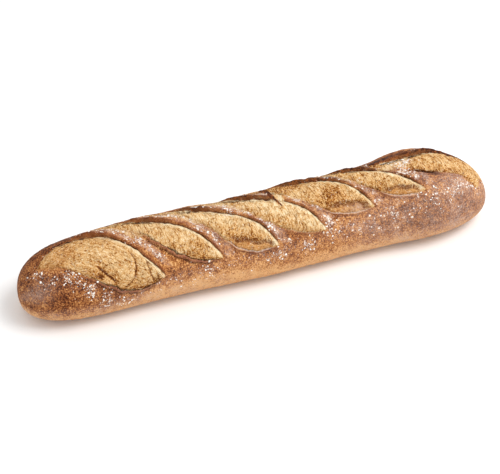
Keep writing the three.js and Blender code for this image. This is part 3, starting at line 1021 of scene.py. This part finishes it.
# The burnt rear ears are cracked black, with orange flecks where their skin flaked off.
SCORCH_TONES = [(fibre, 0.5, 0.4, 0.75, "#2A1007"), (flake, 0.52, 0.6, 0.5, "#AC6432")]
for pattern, start, full, most, code in SCORCH_TONES:
    flecks = add_node(
        tree, "ShaderNodeMapRange", {"Value": pattern, "From Min": start, "From Max": full, "To Max": most}
    )
    flecks = add_node(tree, "ShaderNodeMath", {0: flecks, 1: at["scorch"]}, operation="MULTIPLY")
    surface_colour = add_node(
        tree, "ShaderNodeMix", {"Factor": flecks, "A": surface_colour, "B": colour(code)}, data_type="RGBA"
    )

# Small pale flecks lie here and there on the torn beds. Flour lies over all in ragged patches that
# close up where more of it fell: grey where thin, white where thick.
PALE_FLECK = "#F8ECD8"
THIN_FLOUR_AND_SHEEN = "#C2A494"
THICK_FLOUR = "#F6F0E8"
FLOUR_SPREAD = 0.24  # how far full flour widens its patches
flakes = add_node(
    tree, "ShaderNodeMapRange", {"Value": patch, "From Min": 0.6, "From Max": 0.7, "To Max": 0.55}
)
flakes = add_node(tree, "ShaderNodeMath", {0: flakes, 1: bed_share}, operation="MULTIPLY")
thin = add_node(
    tree,
    "ShaderNodeMapRange",
    {"Value": patch, "From Min": 0.38, "From Max": 0.62, "To Min": 0.25, "To Max": 0.9},
)
# The haze also paints the sheen on the near tip, a painted highlight in the grey of thin flour.
haze_and_sheen = add_node(tree, "ShaderNodeMath", {0: at["dust_and_sheen"], 1: thin}, operation="MULTIPLY")
floured = add_node(
    tree, "ShaderNodeMath", {0: at["flour"], 1: FLOUR_SPREAD, 2: patch}, operation="MULTIPLY_ADD"
)
covered = add_node(
    tree,
    "ShaderNodeMapRange",
    {"Value": floured, "From Min": 0.7, "From Max": 0.82, "To Max": 0.85},
    interpolation_type="SMOOTHSTEP",
)
for share, code in [(flakes, PALE_FLECK), (haze_and_sheen, THIN_FLOUR_AND_SHEEN), (covered, THICK_FLOUR)]:
    surface_colour = add_node(
        tree, "ShaderNodeMix", {"Factor": share, "A": surface_colour, "B": colour(code)}, data_type="RGBA"
    )

GRAIN_HEIGHT = 0.7 * MM
roughness = add_node(tree, "ShaderNodeMapRange", {"Value": bed_share, "To Min": 0.7, "To Max": 0.85})
torn_relief = add_node(tree, "ShaderNodeMath", {0: stroke, 1: wrinkle}, operation="SUBTRACT")
torn_relief = add_node(tree, "ShaderNodeMath", {0: torn_relief, 1: bed_share}, operation="MULTIPLY")
fine_relief = add_node(tree, "ShaderNodeMath", {0: grain, 1: torn_relief}, operation="ADD")
bump = add_node(tree, "ShaderNodeBump", {"Height": fine_relief, "Distance": GRAIN_HEIGHT, "Strength": 0.8})
shader = add_node(
    tree,
    "ShaderNodeBsdfPrincipled",
    {
        "Base Color": surface_colour,
        "Roughness": roughness,
        "IOR": 1.45,
        "Specular IOR Level": 0.15,
        "Normal": bump,
    },
)
add_node(tree, "ShaderNodeOutputMaterial", {"Surface": shader})
loaf_mesh.materials.append(crust)
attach(loaf, "root")
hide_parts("loaf")

# Flour clumps: wheat flour was sifted over the dough before it was scored. What didn't soak in lies on
# the crust as small clumps, stuck to it by the baking.
DRIFTS = 900
CLUMP_TRIES = 1600
CLUMP_FLOUR = 0.12  # the least flour on the crust for a clump to lie there
CLUMP_SMALLEST = 0.3
CLUMP_LARGEST = 1.4
CLUMP_FLATNESS = 0.35
CLUMP_WIDTHS = (0.3, 0.9)
CLUMP_UNEVENNESS = (0.65, 1.25)
CLUMP_STRAY = (-0.35, 0.35)
CLUMP_SIDES = 5
RING_LEVEL = 0.45
DRIFT_REACH = 2
FLOUR_POWER = 1.6
seeds = np.random.default_rng(5)
edge_along = np.gradient(surface, axis=0)
edge_around = np.gradient(surface, axis=1)
outward = np.cross(edge_around, edge_along)
cell_area = np.linalg.norm(outward, axis=-1)
outward /= np.maximum(cell_area[..., None], TINY)
chance = (flour**FLOUR_POWER * cell_area).ravel()
drift_cell = seeds.choice(chance.size, DRIFTS, p=chance / chance.sum())
drift_size = seeds.random(DRIFTS) ** 2
drift = seeds.choice(DRIFTS, CLUMP_TRIES, p=drift_size / drift_size.sum())
clump_ring = drift_cell[drift] // COLUMNS + np.rint(seeds.normal(0, DRIFT_REACH, CLUMP_TRIES)).astype(int)
clump_column = drift_cell[drift] % COLUMNS + np.rint(seeds.normal(0, DRIFT_REACH, CLUMP_TRIES)).astype(int)
chosen = np.clip(clump_ring, 0, RINGS - 1) * COLUMNS + clump_column % COLUMNS
chosen = chosen[flour.ravel()[chosen] > CLUMP_FLOUR]
clump_count = len(chosen)
clump_up = outward.reshape(-1, 3)[chosen]
clump_side = edge_along.reshape(-1, 3)[chosen]
clump_side /= np.linalg.norm(clump_side, axis=-1, keepdims=True)
clump_cross = np.cross(clump_up, clump_side)
clump_turn = seeds.uniform(0, 2 * np.pi, clump_count)[:, None]
clump_long = np.cos(clump_turn) * clump_side + np.sin(clump_turn) * clump_cross
clump_wide = np.cos(clump_turn) * clump_cross - np.sin(clump_turn) * clump_side
clump_middle = surface.reshape(-1, 3)[chosen] + loaf_shift
clump_middle += seeds.uniform(*CLUMP_STRAY, (clump_count, 1)) * clump_side
clump_middle += seeds.uniform(*CLUMP_STRAY, (clump_count, 1)) * clump_cross
clump_radius = mix(CLUMP_SMALLEST, CLUMP_LARGEST, seeds.random((clump_count, 1)) ** 3)


def lump():
    """A ball of two rings of five corners, turned half a step from each other, between two poles."""
    step = 2 * np.pi * np.arange(CLUMP_SIDES) / CLUMP_SIDES
    half = step + np.pi / CLUMP_SIDES
    ring_radius = np.sqrt(1 - RING_LEVEL**2)
    level = np.full(CLUMP_SIDES, RING_LEVEL)
    upper = np.stack([ring_radius * np.cos(step), ring_radius * np.sin(step), level])
    lower = np.stack([ring_radius * np.cos(half), ring_radius * np.sin(half), -level])
    corners = np.concatenate([[(0, 0, 1)], upper.T, lower.T, [(0, 0, -1)]])
    this = 1 + np.arange(CLUMP_SIDES)
    after = np.roll(this, -1)
    this_lower = this + CLUMP_SIDES
    after_lower = after + CLUMP_SIDES
    top = np.stack([0 * this, this, after], axis=-1)
    upper_band = np.stack([this, this_lower, after], axis=-1)
    lower_band = np.stack([after, this_lower, after_lower], axis=-1)
    base = np.stack([0 * this + len(corners) - 1, after_lower, this_lower], axis=-1)
    return corners, np.concatenate([top, upper_band, lower_band, base])


lump_corners, lump_faces = lump()
clump_corners = lump_corners * seeds.uniform(*CLUMP_UNEVENNESS, (clump_count, len(lump_corners), 1))
clump_width = seeds.uniform(*CLUMP_WIDTHS, clump_count)
clump_scale = np.stack([np.ones(clump_count), clump_width, np.full(clump_count, CLUMP_FLATNESS)], axis=-1)
clump_axes = np.stack([clump_long, clump_wide, clump_up], axis=1)
clump_places = np.einsum("ncj,njk->nck", clump_corners * clump_scale[:, None], clump_axes)
clump_places = clump_middle[:, None] + clump_radius[:, None] * clump_places
clump_faces = lump_faces + len(lump_corners) * np.arange(clump_count)[:, None, None]
flour_mesh = bpy.data.meshes.new("flour_clumps")
flour_mesh.from_pydata((clump_places.reshape(-1, 3) * MM).tolist(), [], clump_faces.reshape(-1, 3).tolist())
flour_mesh.polygons.foreach_set("use_smooth", np.ones(len(flour_mesh.polygons), bool))
flour_clumps = bpy.data.objects.new("flour_clumps", flour_mesh)
bpy.context.scene.collection.objects.link(flour_clumps)

# Wheat flour, a matt off-white powder, a little toasted in places.
TOASTED_FLOUR = 2.5 * MM
FLOUR_RAMP = [(0.4, "#FFFCF6"), (0.62, "#E2CDB8")]
flour_paint = bpy.data.materials.new("wheat_flour")
flour_paint.use_nodes = True
tree = flour_paint.node_tree
tree.nodes.clear()
place = add_node(tree, "ShaderNodeTexCoord", output="Object")
toasted = add_node(tree, "ShaderNodeTexNoise", {"Vector": place, "Scale": 1 / TOASTED_FLOUR, "Detail": 2})
flour_colour = add_node(tree, "ShaderNodeValToRGB", {"Fac": toasted}, stops=FLOUR_RAMP)
shader = add_node(
    tree, "ShaderNodeBsdfPrincipled", {"Base Color": flour_colour, "Roughness": 0.95, "IOR": 1.45}
)
add_node(tree, "ShaderNodeOutputMaterial", {"Surface": shader})
flour_mesh.materials.append(flour_paint)
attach(flour_clumps, "root")

# The camera stands in front of the loaf, a little towards its near end, and looks down on it.
CAMERA_AZIMUTH = np.radians(-20.1)
CAMERA_ELEVATION = np.radians(40)
CAMERA_DISTANCE = 1.4
CAMERA_TARGET = Vector((-8.1 * MM, loaf_shift[1] * MM, 25.2 * MM))
SENSOR_WIDTH = 36
FOCAL_PIXELS = 1607
IMAGE_WIDTH = 500
camera_data = bpy.data.cameras.new("camera")
camera_data.sensor_width = SENSOR_WIDTH
camera_data.lens = FOCAL_PIXELS * SENSOR_WIDTH / IMAGE_WIDTH
camera = bpy.data.objects.new("camera", camera_data)
back = Vector(
    (
        np.sin(CAMERA_AZIMUTH) * np.cos(CAMERA_ELEVATION),
        -np.cos(CAMERA_AZIMUTH) * np.cos(CAMERA_ELEVATION),
        np.sin(CAMERA_ELEVATION),
    )
)
camera.location = CAMERA_TARGET + CAMERA_DISTANCE * back
camera.rotation_euler = (-back).to_track_quat("-Z", "Y").to_euler()
bpy.context.scene.collection.objects.link(camera)
bpy.context.scene.camera = camera

# A plain white studio: a wide pale floor under an even white sky, and one large soft lamp.
FLOOR_HALF = 6.0
floor_mesh = bpy.data.meshes.new("studio_floor")
floor_corners = [(-FLOOR_HALF, -FLOOR_HALF, 0), (FLOOR_HALF, -FLOOR_HALF, 0)]
floor_corners += [(FLOOR_HALF, FLOOR_HALF, 0), (-FLOOR_HALF, FLOOR_HALF, 0)]
floor_mesh.from_pydata(floor_corners, [], [(0, 1, 2, 3)])
floor = bpy.data.objects.new("studio_floor", floor_mesh)
bpy.context.scene.collection.objects.link(floor)
floor_paint = bpy.data.materials.new("matt_white_studio_paper")
floor_paint.use_nodes = True
floor_paint.node_tree.nodes["Principled BSDF"].inputs["Base Color"].default_value = colour("#F6F6F6")
floor_paint.node_tree.nodes["Principled BSDF"].inputs["Roughness"].default_value = 0.9
floor_mesh.materials.append(floor_paint)

SKY_STRENGTH = 0.85
sky = bpy.data.worlds.new("white_studio_sky")
sky.use_nodes = True
sky.node_tree.nodes["Background"].inputs["Color"].default_value = colour("#FFFFFF")
sky.node_tree.nodes["Background"].inputs["Strength"].default_value = SKY_STRENGTH
bpy.context.scene.world = sky

LAMP_PLACE = Vector((0.9, -0.5, 1.6))
LAMP_SIZE = 1.0
LAMP_WATTS = 22
lamp_data = bpy.data.lights.new("soft_lamp", "AREA")
lamp_data.size = LAMP_SIZE
lamp_data.energy = LAMP_WATTS
lamp = bpy.data.objects.new("soft_lamp", lamp_data)
lamp.location = LAMP_PLACE
lamp.rotation_euler = (-LAMP_PLACE).to_track_quat("-Z", "Y").to_euler()
bpy.context.scene.collection.objects.link(lamp)
bpy.context.scene.view_settings.view_transform = "Standard"
